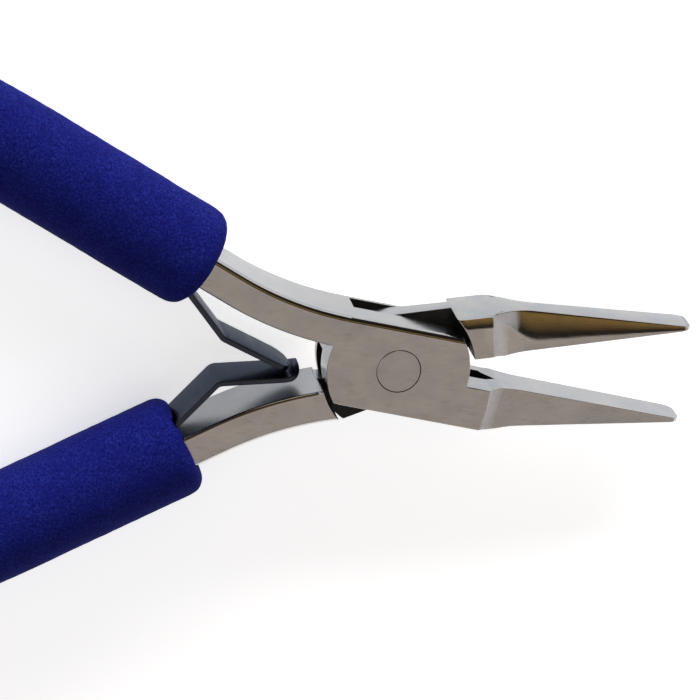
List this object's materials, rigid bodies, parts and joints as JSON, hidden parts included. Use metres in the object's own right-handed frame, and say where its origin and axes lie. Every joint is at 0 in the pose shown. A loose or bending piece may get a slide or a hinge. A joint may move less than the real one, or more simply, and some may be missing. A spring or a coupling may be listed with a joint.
{
  "type": "flat nose pliers",
  "caption": "Box joint flat nose pliers with smooth flat jaws, hooked leaf springs that open them and sleeve grips of soft foam.",
  "frame": {"origin": "pivot axis at the lower flat face of the joint", "axes": "+X along the middle of the opened jaws to their tips, +Z along the pivot, away from the lower face of the joint"},
  "size_m": [0.1393, 0.0926, 0.012],
  "materials": {
    "steel": "fine ground",
    "blued_steel": "blued",
    "foam": "matt foam"
  },
  "bodies": {
    "box_side": {"box_half": "steel", "pivot_rivet": "steel", "upper_spring_rivet": "steel", "upper_grip": "foam"},
    "through_side": {"through_half": "steel", "lower_spring_rivet": "steel", "lower_grip": "foam"},
    "upper_leaf": {"upper_leaf_spring": "blued_steel"},
    "lower_leaf": {"lower_leaf_spring": "blued_steel"}
  },
  "joints": [
    {"name": "pivot", "type": "hinge", "parent": "box_side", "child": "through_side", "pos_m": [0, 0, 0.0041], "axis": [0, 0, 1], "range_deg": [-18, 0], "stiffness_Nm_per_rad": 0.4, "springref_deg": 14.32},
    {"name": "upper_leaf_flex", "type": "hinge", "parent": "box_side", "child": "upper_leaf", "pos_m": [-0.02663, 0.01018, 0.0041], "axis": [0, 0, 1], "range_deg": [0, 7], "deforming": ["upper_leaf_spring"]},
    {"name": "lower_leaf_flex", "type": "hinge", "parent": "through_side", "child": "lower_leaf", "pos_m": [-0.02663, -0.01018, 0.0041], "axis": [0, 0, 1], "range_deg": [-7, 0], "deforming": ["lower_leaf_spring"]}
  ],
  "couplings": [
    {"joint": "upper_leaf_flex", "follows": "pivot", "ratio": -0.379},
    {"joint": "lower_leaf_flex", "follows": "pivot", "ratio": 0.379}
  ]
}
